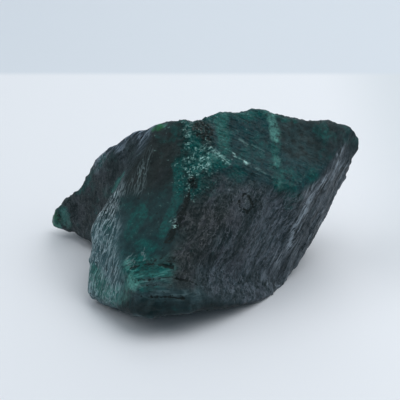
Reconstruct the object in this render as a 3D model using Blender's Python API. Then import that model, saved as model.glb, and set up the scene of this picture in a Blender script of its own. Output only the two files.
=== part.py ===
"""A rough emerald: one dark green broken stone, modelled as a single solid.

Run with: blender --background --python part.py   (units are metres, +Z is up)

The stone is a cage of named corners where its fracture faces meet. The cage is closed into a mesh,
its edges are worn a little, its relief is pushed in and out of the faces, and it is planed flat
where it rests. Its front hangs over the foot as a belly whose rim is clear of the ground.
"""

import math

import bmesh
import bpy
from mathutils import Vector, noise
from mathutils.bvhtree import BVHTree

MM = 0.001

# ---------------------------------------------------------------------------------------------
# Driving dimensions, in millimetres
# ---------------------------------------------------------------------------------------------
SKIN_CELL = 0.85  # edge length of the even skin that carries the relief
IRONING_PASSES = 60  # smooths the inside of each face
EDGE_WEAR_PASSES = 2  # dulls the edges between faces
SKIN_STANDOFF = 0.4  # what the skin is given back after wear
REST_PLANE = 0.6  # height above the lowest corners at which the underside is planed
TRIANGLES = 9400  # what the finished solid keeps

STONE_COLOUR = (0.012, 0.045, 0.040, 1.0)
STONE_ROUGHNESS = 0.42

# The layers of the rock lie square to this direction, and end in steps where they were broken off
LAYER_NORMAL = Vector((-0.54, -0.59, 0.60)).normalized()
# Its fibres run down the side faces one way, and across the top faces another
SIDE_GRAIN = Vector((-0.40, -0.40, -0.82)).normalized()
TOP_GRAIN = Vector((0.85, -0.30, -0.35)).normalized()

# Grooves between the ledges over the foot: (height along the ledge normal, depth), and where they run
LEDGE_NORMAL = Vector((0.07, 0.45, 0.89))
LEDGE_GROOVES = [(14.9, 0.6), (13.1, 0.9), (11.3, 0.8)]
LEDGE_MIDDLE = -9.0
LEDGE_REACH = 17.0
LEDGE_BACK = -1.0
LEDGE_BACK_FADE = 6.0
LEDGE_GROOVE_WIDTH = 1.0

# Shell-shaped scoops: (x, y, z, radius, depth)
SCOOPS = [
    (31.0, 31.0, 43.0, 8.0, 0.9),
    (-3.0, 58.0, 20.0, 15.0, 2.6),
    (24.0, 58.0, 24.0, 13.0, 2.2),
    (-27.0, 53.0, 19.0, 11.0, 1.8),
    (-33.5, 20.0, 8.0, 9.0, 1.2),
]

# Rounded humps: (x, y, z, radius, height)
HUMPS = [
    (9.5, 11.0, 21.0, 17.0, 1.6),
    (-26.0, 45.0, 24.0, 12.0, 0.8),
    (8.0, 60.0, 13.0, 14.0, 1.5),
]

# How each face broke, where it isn't the rough break of the back
FACE_FINISH = {
    "left_front": "satin",
    "bevel": "satin",
    "band": "fibrous",
    "band_corner": "fibrous",
    "band_side": "fibrous",
    "right_side": "fibrous",
    "left_rear": "granular",
    "front": "granular",
    "top_left": "hackly",
    "top_right": "granular",
    "undercut_left": "hollow",
    "undercut_mid": "hollow",
    "undercut_right": "hollow",
    "belly_left": "granular",
    "belly_mid": "granular",
    "belly_right": "granular",
    "toe_under": "granular",
    "foot": "flat",
}

# Corners where fracture faces meet: (to the right, towards the back, up), in millimetres,
# from the foremost point of the foot
CORNERS = {
    # the wing that reaches out low on the left
    "tip_top": (-48.7, 50.5, 8.8),
    "tip_low": (-48.4, 50.5, 4.8),
    "tip_back": (-44.5, 56.5, 5.5),
    "wing_edge_front": (-41.4, 48.1, 3.5),
    "wing_edge_inner": (-35.9, 41.1, 3.0),
    "wing_armpit": (-31.5, 34.0, 2.5),
    "wing_crest_low": (-38.3, 47.7, 20.5),
    "wing_crest_high": (-30.9, 43.7, 34.9),
    # the crest, from left to right
    "crest_a": (-23.7, 39.7, 40.0),
    "crest_b": (-17.8, 37.8, 44.0),
    "crest_c": (-13.3, 35.4, 47.0),
    "apex": (-5.6, 33.0, 49.0),
    "crest_step": (0.3, 37.1, 48.0),
    "crest_d": (3.2, 36.2, 50.0),
    "crest_top": (17.6, 36.1, 50.6),
    "crest_e": (20.6, 36.6, 49.5),
    "crest_f": (31.4, 38.3, 46.5),
    "crest_g": (38.4, 41.0, 44.4),
    "prow_top": (44.2, 42.2, 41.9),
    "prow_brow": (45.7, 41.8, 40.2),
    "prow_tip": (46.2, 41.7, 37.8),
    "prow_chin": (45.4, 41.2, 35.4),
    "prow_low": (43.5, 40.3, 32.7),
    # the narrow bevel along the left end of the crest
    "bevel_low": (-29.4, 40.9, 32.5),
    "bevel_mid": (-22.1, 37.3, 37.5),
    "bevel_high": (-15.0, 33.7, 45.0),
    # the fibrous band down the left of the front
    "brow": (-18.9, 30.6, 39.0),
    "band_top": (-24.0, 29.5, 32.0),
    "band_left_high": (-28.9, 28.9, 25.0),
    "band_left_mid": (-33.3, 23.7, 19.0),
    "band_left_low": (-34.9, 15.2, 11.6),
    "band_heel_up": (-34.2, 10.6, 4.8),
    "band_heel": (-33.9, 11.5, 1.5),
    "band_toe": (-29.9, 7.8, 1.8),
    "band_right_high": (-24.7, 23.7, 26.0),
    "band_right_mid": (-25.2, 17.1, 20.0),
    "band_right_low": (-25.0, 7.8, 15.8),
    "band_foot": (-21.7, -3.4, 11.2),
    # the main ridge, from the apex down to the ledges
    "ridge_1": (-5.3, 29.2, 44.5),
    "ridge_2": (-5.6, 25.1, 39.0),
    "ridge_3": (-5.8, 19.6, 33.0),
    "ridge_4": (-8.6, 9.0, 25.0),
    "ridge_foot": (-8.2, -1.4, 18.4),
    # the ledge over the undercut foot
    "ledge_left": (-20.5, -3.1, 15.9),
    "ledge_1": (-18.5, -5.4, 14.6),
    "ledge_2": (-13.1, -7.3, 16.4),
    "ledge_3": (-8.2, -6.2, 16.2),
    "ledge_4": (-4.0, -4.7, 14.2),
    "ledge_5": (0.8, -3.5, 10.2),
    "lip_left": (-24.1, -2.6, 8.2),
    "hollow_left": (-14.1, -5.8, 11.3),
    "hollow_right": (-5.7, -4.6, 10.5),
    # the brow of the front face and the top faces above it
    "top_edge_1": (2.5, 22.2, 42.0),
    "top_edge_2": (12.7, 22.4, 39.0),
    "top_edge_3": (20.1, 18.7, 36.0),
    "top_edge_4": (27.4, 19.6, 33.0),
    "vein_foot": (20.2, 31.7, 43.0),
    # the edge of the streaked right-hand face
    "side_edge_1": (41.6, 36.8, 41.0),
    "side_edge_2": (39.3, 32.7, 39.0),
    "side_edge_3": (35.6, 28.7, 35.0),
    "side_edge_4": (31.3, 25.5, 32.0),
    "side_edge_5": (27.6, 22.4, 25.0),
    "side_edge_6": (25.2, 23.7, 17.0),
    "side_edge_7": (23.6, 22.8, 10.0),
    "side_edge_8": (21.9, 20.8, 1.5),
    # the overhanging outer edge of that face
    "overhang_1": (42.2, 39.7, 26.6),
    "overhang_2": (36.7, 35.1, 15.0),
    "overhang_3": (28.2, 26.7, 4.0),
    "overhang_4": (25.2, 24.1, 1.8),
    # the rim of the belly, which hangs clear of the ground along the front
    "rim_left": (-24.7, -2.8, 6.6),
    "rim_1": (-20.5, -8.2, 7.9),
    "rim_2": (-15.5, -10.8, 8.4),
    "rim_3": (-9.9, -8.1, 8.4),
    "rim_4": (-4.3, -7.8, 7.9),
    "rim_5": (0.8, -3.8, 6.9),
    "rim_6": (6.8, 0.0, 5.4),
    "rim_7": (13.1, 4.7, 3.8),
    # the foot
    "foot_2": (-16.0, 8.0, 0.0),
    "foot_3": (-10.0, 7.8, 0.0),
    "foot_4": (-4.4, 8.4, 0.0),
    "foot_5": (0.8, 10.4, 0.0),
    "foot_6": (7.0, 11.4, 0.0),
    "foot_7": (13.4, 13.3, 0.0),
    "foot_8": (20.2, 13.8, 0.0),
    "foot_9": (24.0, 20.4, 0.0),
    "foot_10": (22.0, 33.0, 0.0),
    "foot_11": (19.5, 47.0, 0.0),
    "foot_12": (-3.0, 51.0, 0.0),
    "foot_13": (-22.0, 50.0, 0.0),
    "foot_14": (-27.0, 29.0, 0.0),
    "foot_15": (-24.5, 12.0, 0.3),
    # the back
    "back_high_left": (-20.0, 51.0, 31.0),
    "back_high_mid": (2.0, 55.0, 35.0),
    "back_high_right": (20.0, 53.0, 38.0),
    "back_high_far": (37.0, 49.5, 35.0),
    "back_prow": (45.0, 47.5, 36.8),
    "back_side_mid": (39.5, 49.5, 20.0),
    "back_side_low": (30.5, 50.0, 5.0),
    "back_low_left": (-30.0, 60.0, 3.0),
    "back_low_mid_left": (-12.0, 63.0, 6.0),
    "back_low_mid_right": (10.0, 63.5, 9.0),
    "back_low_right": (28.0, 57.0, 8.0),
}

# Fracture faces, each a loop of corners
FACES = {
    "left_front": "crest_c apex ridge_1 ridge_2 ridge_3 ridge_4 ridge_foot ledge_left band_right_low"
    " band_right_mid band_right_high band_top brow",
    "ledges": "ridge_foot ledge_3 ledge_2 ledge_1 ledge_left",
    "band": "band_top band_left_high band_left_mid band_left_low band_heel_up lip_left band_foot"
    " band_right_low band_right_mid band_right_high",
    "band_lip": "band_heel_up band_heel band_toe lip_left",
    "band_corner": "band_right_low band_foot ledge_1 ledge_left",
    "left_rear": "tip_top wing_crest_low wing_crest_high bevel_low bevel_mid bevel_high crest_c brow"
    " band_top band_left_high band_left_mid wing_armpit wing_edge_inner wing_edge_front tip_low",
    "bevel": "wing_crest_high crest_a crest_b crest_c bevel_high bevel_mid bevel_low",
    "top_left": "apex crest_step crest_d crest_top vein_foot top_edge_3 top_edge_2 top_edge_1"
    " ridge_2 ridge_1",
    "top_right": "crest_top crest_e crest_f crest_g prow_top side_edge_1 side_edge_2 side_edge_3"
    " side_edge_4 top_edge_4 top_edge_3 vein_foot",
    "front": "ridge_2 top_edge_1 top_edge_2 top_edge_3 top_edge_4 side_edge_4 side_edge_5 side_edge_6"
    " side_edge_7 side_edge_8 foot_8 rim_7 rim_6 ledge_5 ledge_4 ledge_3 ridge_foot ridge_4 ridge_3",
    "undercut_left": "lip_left band_foot ledge_1 hollow_left rim_2 rim_1 rim_left",
    "undercut_mid": "ledge_1 ledge_2 ledge_3 hollow_right rim_4 rim_3 rim_2 hollow_left",
    "undercut_right": "ledge_3 ledge_4 ledge_5 rim_6 rim_5 rim_4 hollow_right",
    "toe": "band_toe lip_left rim_left",
    "right_side": "prow_top prow_brow prow_tip prow_chin prow_low overhang_1 overhang_2 overhang_3"
    " overhang_4 foot_9 foot_8 side_edge_8 side_edge_7 side_edge_6 side_edge_5 side_edge_4 side_edge_3"
    " side_edge_2 side_edge_1",
    "band_side": "band_left_mid wing_armpit foot_14 foot_15 band_heel band_heel_up band_left_low",
    "band_side_low": "foot_15 band_toe band_heel",
    "toe_under": "band_toe rim_left rim_1 foot_2 foot_15",
    "belly_left": "rim_1 rim_2 rim_3 foot_3 foot_2",
    "belly_mid": "rim_3 rim_4 rim_5 foot_5 foot_4 foot_3",
    "belly_right": "rim_5 rim_6 rim_7 foot_8 foot_7 foot_6 foot_5",
    "wing_under": "tip_low wing_edge_front wing_edge_inner wing_armpit foot_14 foot_13 back_low_left"
    " tip_back",
    "wing_tip": "tip_top tip_low tip_back",
    "back_wing": "tip_top tip_back back_low_left back_high_left wing_crest_high wing_crest_low",
    "back_crest_left": "wing_crest_high back_high_left back_high_mid apex crest_c crest_b crest_a",
    "back_crest_mid": "apex back_high_mid back_high_right crest_top crest_d crest_step",
    "back_crest_right": "crest_top back_high_right back_high_far crest_g crest_f crest_e",
    "back_crest_far": "crest_g back_high_far back_prow prow_top",
    "prow_end": "prow_top back_prow prow_tip prow_brow",
    "prow_side": "prow_tip back_prow back_side_mid overhang_1 prow_low prow_chin",
    "back_corner": "back_prow back_high_far back_low_right back_side_low back_side_mid",
    "back_left": "back_high_left back_low_left back_low_mid_left back_high_mid",
    "back_mid": "back_high_mid back_low_mid_left back_low_mid_right back_high_right",
    "back_right": "back_high_right back_low_mid_right back_low_right back_high_far",
    "overhang_upper": "overhang_1 back_side_mid back_side_low overhang_3 overhang_2",
    "overhang_lower": "overhang_3 back_side_low foot_10 foot_9 overhang_4",
    "back_under_left": "foot_13 foot_12 back_low_mid_left back_low_left",
    "back_under_mid": "foot_12 foot_11 back_low_mid_right back_low_mid_left",
    "back_under_right": "foot_11 foot_10 back_side_low back_low_right back_low_mid_right",
    "foot": "foot_2 foot_15 foot_14 foot_13 foot_12 foot_11 foot_10 foot_9 foot_8 foot_7 foot_6"
    " foot_5 foot_4 foot_3",
}


def cage_of_faces():
    """The closed cage, in millimetres. Each triangle carries the number of the fracture face it is of."""
    cage = bmesh.new()
    face_number = cage.faces.layers.int.new("face_number")
    corners = {name: cage.verts.new(place) for name, place in CORNERS.items()}
    for number, loop in enumerate(FACES.values()):
        face = cage.faces.new([corners[name] for name in loop.split()])
        face[face_number] = number
    bmesh.ops.triangulate(cage, faces=cage.faces[:], ngon_method="BEAUTY")
    bmesh.ops.recalc_face_normals(cage, faces=cage.faces[:])
    return cage


def with_modifier(mesh, kind, **settings):
    """The mesh that one modifier makes of this mesh."""
    holder = bpy.data.objects.new("holder", mesh)
    bpy.context.scene.collection.objects.link(holder)
    modifier = holder.modifiers.new("step", kind)
    for name, value in settings.items():
        setattr(modifier, name, value)
    depsgraph = bpy.context.evaluated_depsgraph_get()
    result = bpy.data.meshes.new_from_object(holder.evaluated_get(depsgraph))
    bpy.data.objects.remove(holder)
    return result


def fade(distance, reach):
    """1 at no distance, falling smoothly to 0 at the reach."""
    t = min(1.0, max(0.0, 1.0 - distance / reach))
    return t * t * (3.0 - 2.0 * t)


def swells(p):
    """Broad humps and dips that every broken face has."""
    return 0.7 * noise.noise(p / 13.0) + 0.35 * noise.noise(p / 6.5 + Vector((7.0, 3.0, 1.0)))


def creases(p, size):
    """Faces of a rough break, that meet in sharp valleys."""
    coarse = abs(noise.noise(p / size))
    fine = abs(noise.noise(p / (size * 0.45) + Vector((2.0, 8.0, 5.0))))
    return coarse - 0.3 + 0.5 * (fine - 0.3)


def fibres(p, grain, pitch):
    """Long grooves along the grain: about 1 on their crests, -1 in their beds."""
    across = p - grain * (p.dot(grain) * 0.88)
    return noise.noise(across / pitch) + 0.5 * noise.noise(across / (pitch * 0.5) + Vector((3.0, 9.0, 4.0)))


def layer_steps(p, pitch):
    """Where the layers of the rock end in steps: 0 to 1 over a layer, then a sharp drop."""
    across = p - SIDE_GRAIN * (p.dot(SIDE_GRAIN) * 0.75)
    wander = 0.7 * noise.noise(across / 9.0) + 0.2 * noise.noise(across / 3.0)
    place = p.dot(LAYER_NORMAL) / pitch + wander
    strength = min(1.0, max(0.0, 0.55 + 0.9 * noise.noise(p / 15.0 + Vector((5.0, 5.0, 0.0)))))
    return strength * (place - math.floor(place) - 0.5)


def scoop_depth(p):
    """How deep the shell-shaped scoops are at a point."""
    depth = 0.0
    for x, y, z, radius, deepest in SCOOPS:
        reach = (p - Vector((x, y, z))).length / radius
        if reach < 1.0:
            depth = max(depth, deepest * (1.0 - reach * reach))
    return depth


def hump_height(p):
    """How high the humps are at a point."""
    return sum(height * fade((p - Vector((x, y, z))).length, radius) for x, y, z, radius, height in HUMPS)


def ledge_depth(p):
    """How deep the grooves between the ledges over the foot are at a point."""
    depth = 0.0
    along = fade(abs(p.x - LEDGE_MIDDLE), LEDGE_REACH) * fade(p.y - LEDGE_BACK, LEDGE_BACK_FADE)
    for height, deepest in LEDGE_GROOVES:
        level = height + 0.5 * noise.noise(p / 4.0)
        depth += deepest * along * fade(abs(p.dot(LEDGE_NORMAL) - level), LEDGE_GROOVE_WIDTH)
    return depth


def relief(p, face_name):
    """How far the skin stands out of the cage at a point of the named face, in millimetres."""
    finish = FACE_FINISH.get(face_name, "broken")
    if finish == "flat":
        return 0.0
    if finish == "satin":
        out = 0.5 * swells(p) + 0.12 * fibres(p, SIDE_GRAIN, 4.0)
    elif finish == "fibrous":
        out = swells(p) + 0.45 * fibres(p, SIDE_GRAIN, 3.4) + 0.8 * layer_steps(p, 5.5)
    elif finish == "granular":
        out = 0.8 * swells(p) + 0.4 * creases(p, 8.0) + 0.25 * fibres(p, SIDE_GRAIN, 4.0)
        out += 0.35 * layer_steps(p, 6.0)
    elif finish == "hackly":
        out = 0.6 * swells(p) + 0.6 * creases(p, 5.5) + 0.25 * fibres(p, TOP_GRAIN, 4.0)
    elif finish == "hollow":
        out = 0.5 * swells(p)
    else:
        out = swells(p) + 1.7 * creases(p, 11.0) + 1.2 * layer_steps(p, 9.0)
        out += 0.25 * fibres(p, SIDE_GRAIN, 4.5)
    return out + hump_height(p) - scoop_depth(p) - ledge_depth(p)


def smooth(skin, points, passes):
    """Pull these points of the skin towards their neighbours."""
    for _ in range(passes):
        bmesh.ops.smooth_vert(
            skin, verts=points, factor=0.5, use_axis_x=True, use_axis_y=True, use_axis_z=True
        )


def face_of_each_point(skin, cage):
    """The name of the fracture face nearest to each point of the skin."""
    names = list(FACES)
    face_number = cage.faces.layers.int["face_number"]
    cage.faces.ensure_lookup_table()
    nearest = BVHTree.FromBMesh(cage)
    found = []
    for vert in skin.verts:
        _, _, index, _ = nearest.find_nearest(vert.co)
        found.append(names[cage.faces[index][face_number]])
    return found


def iron_faces(skin, face_names):
    """Smooth the inside of each face and leave its edges, so that a face curves without a fold."""
    skin.verts.index_update()
    inside = []
    for vert in skin.verts:
        neighbours = [edge.other_vert(vert) for edge in vert.link_edges]
        if all(face_names[other.index] == face_names[vert.index] for other in neighbours):
            inside.append(vert)
    smooth(skin, inside, IRONING_PASSES)


def raise_relief(skin, face_names):
    """Push the relief in and out of the skin."""
    skin.normal_update()
    moves = [
        vert.normal * (SKIN_STANDOFF + relief(vert.co, face_name))
        for vert, face_name in zip(skin.verts, face_names)
    ]
    for vert, move in zip(skin.verts, moves):
        vert.co += move


def plane_foot(solid):
    """Cut the underside level, so that the stone has a flat face to rest on."""
    cut = bmesh.ops.bisect_plane(
        solid,
        geom=solid.verts[:] + solid.edges[:] + solid.faces[:],
        plane_co=(0.0, 0.0, REST_PLANE),
        plane_no=(0.0, 0.0, -1.0),
        clear_outer=True,
    )
    rim = [part for part in cut["geom_cut"] if isinstance(part, bmesh.types.BMEdge)]
    bmesh.ops.holes_fill(solid, edges=rim, sides=0)
    bmesh.ops.remove_doubles(solid, verts=solid.verts[:], dist=0.03)
    bmesh.ops.triangulate(solid, faces=[face for face in solid.faces if len(face.verts) > 3])
    bmesh.ops.recalc_face_normals(solid, faces=solid.faces[:])


def move_to_origin(solid):
    """Put the middle of the bounding box's underside at the origin, and turn millimetres into metres."""
    low = Vector([min(vert.co[axis] for vert in solid.verts) for axis in range(3)])
    high = Vector([max(vert.co[axis] for vert in solid.verts) for axis in range(3)])
    middle = (low + high) / 2.0
    foot = Vector((middle.x, middle.y, low.z))
    for vert in solid.verts:
        vert.co = (vert.co - foot) * MM


def stone_material():
    material = bpy.data.materials.new("emerald_rock")
    material.use_nodes = True
    shader = material.node_tree.nodes["Principled BSDF"]
    shader.inputs["Base Color"].default_value = STONE_COLOUR
    shader.inputs["Roughness"].default_value = STONE_ROUGHNESS
    shader.inputs["Metallic"].default_value = 0.0
    return material


def main():
    for old in list(bpy.data.objects):
        bpy.data.objects.remove(old)

    cage = cage_of_faces()
    cage_mesh = bpy.data.meshes.new("cage")
    cage.to_mesh(cage_mesh)
    skin_mesh = with_modifier(cage_mesh, "REMESH", mode="VOXEL", voxel_size=SKIN_CELL)
    skin = bmesh.new()
    skin.from_mesh(skin_mesh)
    face_names = face_of_each_point(skin, cage)
    iron_faces(skin, face_names)
    smooth(skin, skin.verts[:], EDGE_WEAR_PASSES)
    raise_relief(skin, face_names)
    bmesh.ops.triangulate(skin, faces=skin.faces[:])
    fine_mesh = bpy.data.meshes.new("fine")
    skin.to_mesh(fine_mesh)
    coarse_mesh = with_modifier(fine_mesh, "DECIMATE", ratio=TRIANGLES / len(fine_mesh.polygons))

    solid = bmesh.new()
    solid.from_mesh(coarse_mesh)
    plane_foot(solid)
    move_to_origin(solid)
    mesh = bpy.data.meshes.new("rough_emerald")
    solid.to_mesh(mesh)
    mesh.materials.append(stone_material())
    stone = bpy.data.objects.new("rough_emerald", mesh)
    bpy.context.scene.collection.objects.link(stone)


main()
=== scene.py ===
"""The looks of the rough emerald: its fine broken relief, its stone, and the pale floor it lies on.

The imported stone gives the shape. It is copied, given an even skin fine enough to carry grain and
splinters, and each part of its surface gets the break and the colours that it has. All places and
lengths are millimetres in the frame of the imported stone, unless a comment says otherwise.
"""

import math
import bmesh
import bpy
import numpy as np
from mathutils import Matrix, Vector, noise


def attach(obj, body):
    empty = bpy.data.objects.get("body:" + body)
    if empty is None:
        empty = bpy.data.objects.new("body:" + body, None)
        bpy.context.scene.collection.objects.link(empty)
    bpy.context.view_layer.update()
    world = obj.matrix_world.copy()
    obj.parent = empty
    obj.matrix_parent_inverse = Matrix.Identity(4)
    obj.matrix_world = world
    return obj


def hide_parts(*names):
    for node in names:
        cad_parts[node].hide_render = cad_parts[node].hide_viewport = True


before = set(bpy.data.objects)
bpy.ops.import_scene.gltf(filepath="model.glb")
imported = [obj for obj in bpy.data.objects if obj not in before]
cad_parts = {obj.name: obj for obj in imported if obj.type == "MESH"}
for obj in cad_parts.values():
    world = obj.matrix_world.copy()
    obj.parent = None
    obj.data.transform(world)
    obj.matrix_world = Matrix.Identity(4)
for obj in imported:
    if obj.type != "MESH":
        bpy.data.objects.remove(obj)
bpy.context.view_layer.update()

MM = 0.001

# ----------------------------------------
# The skin that carries the fine relief
# ----------------------------------------
WELD = 1e-6  # in metres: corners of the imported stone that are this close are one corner
SKIN_CELL = 0.47  # edge length of the skin
FACET_WEAR_PASSES = 8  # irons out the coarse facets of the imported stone
FOOT_FADE = 1.2  # the fine relief dies out this far above the floor

# The ways that the fibres run: down the steep sides, down the band on the left, across the top, along
# the ledges over the foot, and up the bevel at the left
GRAINS = {
    "side": Vector((-0.45, -0.39, -0.80)).normalized(),
    "band": Vector((-0.28, -0.60, -0.75)).normalized(),
    "top": Vector((0.90, -0.23, -0.35)).normalized(),
    "level": Vector((0.98, 0.18, -0.06)).normalized(),
    "bevel": Vector((0.69, 0.10, 0.72)).normalized(),
}
GRAIN_WAVE = 1.2  # how far the fibres wander from their straight run

# Ridges this high show the colours of their fibres in full, and chips this high the finest chips
FULL_FIBRES = {"side": 0.24, "band": 0.30, "top": 0.16, "level": 0.20, "bevel": 0.10}
FULL_HACKLE = 0.34

# The noises of the skin: the size of their lumps, where in the noise they start, and how much of a
# length along the grain still counts
COARSE_NOISE = dict(size=5.0)
MIDDLE_NOISE = dict(size=2.2, start=11.0)
FINE_NOISE = dict(size=1.1, start=23.0)
SWAY_NOISE = dict(size=5.0, start=61.0)
WIDE_RIDGES = dict(size=2.3, start=31.0, keep=0.14)
THIN_RIDGES = dict(size=1.2, start=47.0, keep=0.20)
BIG_CHIPS = dict(size=2.4)
SMALL_CHIPS = dict(size=1.3, start=7.0)
CHIP_TILTS = Vector((17.0, 5.0, 9.0))  # where the chips' tilts start in the noise

# How much of each noise goes into the relief
MIDDLE_BUMPS = 1.2
FINE_BUMPS = 0.9
WIDE_RIDGE_SHARE = 0.6
THIN_RIDGE_SHARE = 0.5
SMALL_CHIP_SHARE = 0.6
RIDGE_STEEPNESS = 3.2
CHIP_STEEPNESS = 1.6

# Where the coarse shape is trued up: (place, radius, push)
TRIMS = [
    ((43.4, 13.8, 41.9), 4.0, (1.3, 0.0, 0.9)),
    ((45.6, 13.9, 39.4), 3.2, (0.9, 0.0, 0.5)),
    ((46.0, 13.9, 35.0), 3.4, (1.3, 0.0, -0.2)),
    ((43.4, 11.0, 32.3), 4.0, (1.1, 0.0, -0.3)),
    ((39.8, 12.8, 43.5), 3.5, (0.0, 0.0, 0.7)),
]
# Edges that have worn round: the brow of the front face, and the top of the streaked right-hand face
ROUND_EDGE = [
    (1.0, -5.5, 41.5), (3.6, -4.9, 41.4), (13.8, -4.7, 38.4), (21.2, -8.4, 35.4), (28.5, -7.5, 32.4),
    (32.4, -1.6, 31.4), (36.7, 1.6, 34.4), (40.4, 5.6, 38.4), (42.7, 9.7, 40.4), (45.0, 13.5, 40.5),
]
ROUND_EDGE_REACH = 3.6
ROUND_EDGE_PASSES = 40
HALF_WAY = 0.5  # one pass moves a corner half-way to the middle of its neighbours

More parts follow.
